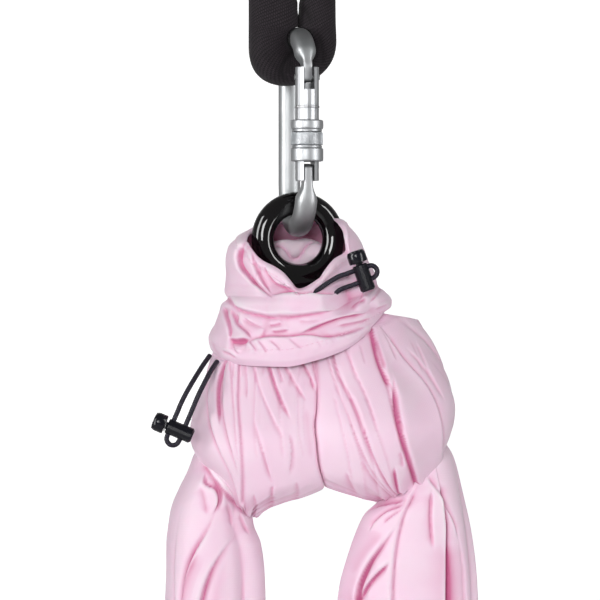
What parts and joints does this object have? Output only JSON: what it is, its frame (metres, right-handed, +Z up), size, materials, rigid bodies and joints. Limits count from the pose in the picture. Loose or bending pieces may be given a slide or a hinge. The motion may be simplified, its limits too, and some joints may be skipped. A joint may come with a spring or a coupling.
{
  "type": "rigged aerial silks",
  "caption": "Round sling, screw gate carabiner and figure 8 carrying two gathered silks that come out of a drawstring collar with cord locks.",
  "frame": {"origin": "the hang point, where a ceiling hook bears on the inside of the sling's upper loop", "axes": "+Z up along the hanging rig, -Y towards the side with the carabiner's gate and the collar's V, +X to the right seen from that side"},
  "size_m": [0.1714, 0.0855, 0.614],
  "materials": {
    "sling": "woven polyester tube",
    "yarn": "loose load yarn",
    "steel": "zinc plated",
    "dark_steel": "plain pins and ring",
    "rubber": "matte",
    "black_alloy": "glossy black anodised",
    "silk": "knitted stretch nylon",
    "collar": "knitted stretch nylon, sewn",
    "cord": "braided cord",
    "lock": "moulded"
  },
  "bodies": {
    "sling": {"sling_sleeve": "sling", "sling_core": "yarn", "sling_seam_cover": "sling"},
    "carabiner": {"carabiner_frame": "steel"},
    "gate": {"gate_tube": "steel", "gate_hinge_pin": "dark_steel", "gate_latch_pin": "dark_steel", "gate_plunger": "steel", "gate_spring": "steel", "gate_stop_ring": "dark_steel"},
    "sleeve_ring": {"sleeve_friction_ring": "rubber"},
    "sleeve": {"screw_sleeve": "steel"},
    "silks": {"figure_eight": "black_alloy", "collar": "collar", "silk_neck_band": "silk", "silk_wrap_left": "silk", "silk_wrap_right": "silk", "left_tail": "silk", "right_tail": "silk", "upper_drawcord": "cord", "lower_drawcord": "cord"},
    "upper_lock": {"upper_lock_barrel": "lock", "upper_lock_spring": "steel"},
    "upper_plunger": {"upper_lock_plunger": "lock"},
    "lower_lock": {"lower_lock_barrel": "lock", "lower_lock_spring": "steel"},
    "lower_plunger": {"lower_lock_plunger": "lock"}
  },
  "joints": [
    {"name": "carabiner_swing", "type": "hinge", "parent": "sling", "child": "carabiner", "pos_m": [-0.001, 0, -0.2168], "axis": [0.9781, 0.2079, 0], "range_deg": [-22, 22]},
    {"name": "gate_hinge", "type": "hinge", "parent": "carabiner", "child": "gate", "pos_m": [0.00368, -0.02201, -0.2159], "axis": [0.9781, 0.2079, 0], "range_deg": [0, 24], "stiffness_Nm_per_rad": 0.6, "springref_deg": -20.05},
    {"name": "sleeve_slide", "type": "slide", "parent": "gate", "child": "sleeve_ring", "axis": [0, 0, 1], "range_m": [-0.0105, 0.0058]},
    {"name": "sleeve_turn", "type": "hinge", "parent": "sleeve_ring", "child": "sleeve", "pos_m": [0.00368, -0.02201, -0.249], "axis": [0, 0, 1], "range_deg": [-842, 466]},
    {"name": "figure_eight_swing", "type": "hinge", "parent": "carabiner", "child": "silks", "pos_m": [-0.001, 0, -0.2929], "axis": [-0.2079, 0.9781, 0], "range_deg": [-25, 25]},
    {"name": "upper_lock_slide", "type": "slide", "parent": "silks", "child": "upper_lock", "axis": [-0.9439, 0, -0.3303], "range_m": [0, 0.006]},
    {"name": "upper_lock_press", "type": "slide", "parent": "upper_lock", "child": "upper_plunger", "axis": [0.3303, 0, -0.9439], "range_m": [0, 0.0018], "stiffness_N_per_m": 500, "springref_m": -0.001, "deforming": ["upper_lock_spring"]},
    {"name": "lower_lock_slide", "type": "slide", "parent": "silks", "child": "lower_lock", "axis": [0.3903, 0, 0.9207], "range_m": [0, 0.009]},
    {"name": "lower_lock_press", "type": "slide", "parent": "lower_lock", "child": "lower_plunger", "axis": [0.9207, 0, -0.3903], "range_m": [0, 0.0018], "stiffness_N_per_m": 500, "springref_m": -0.001, "deforming": ["lower_lock_spring"]}
  ],
  "couplings": [
    {"joint": "sleeve_turn", "follows": "sleeve_slide", "rad_per_m": 1396.3}
  ]
}
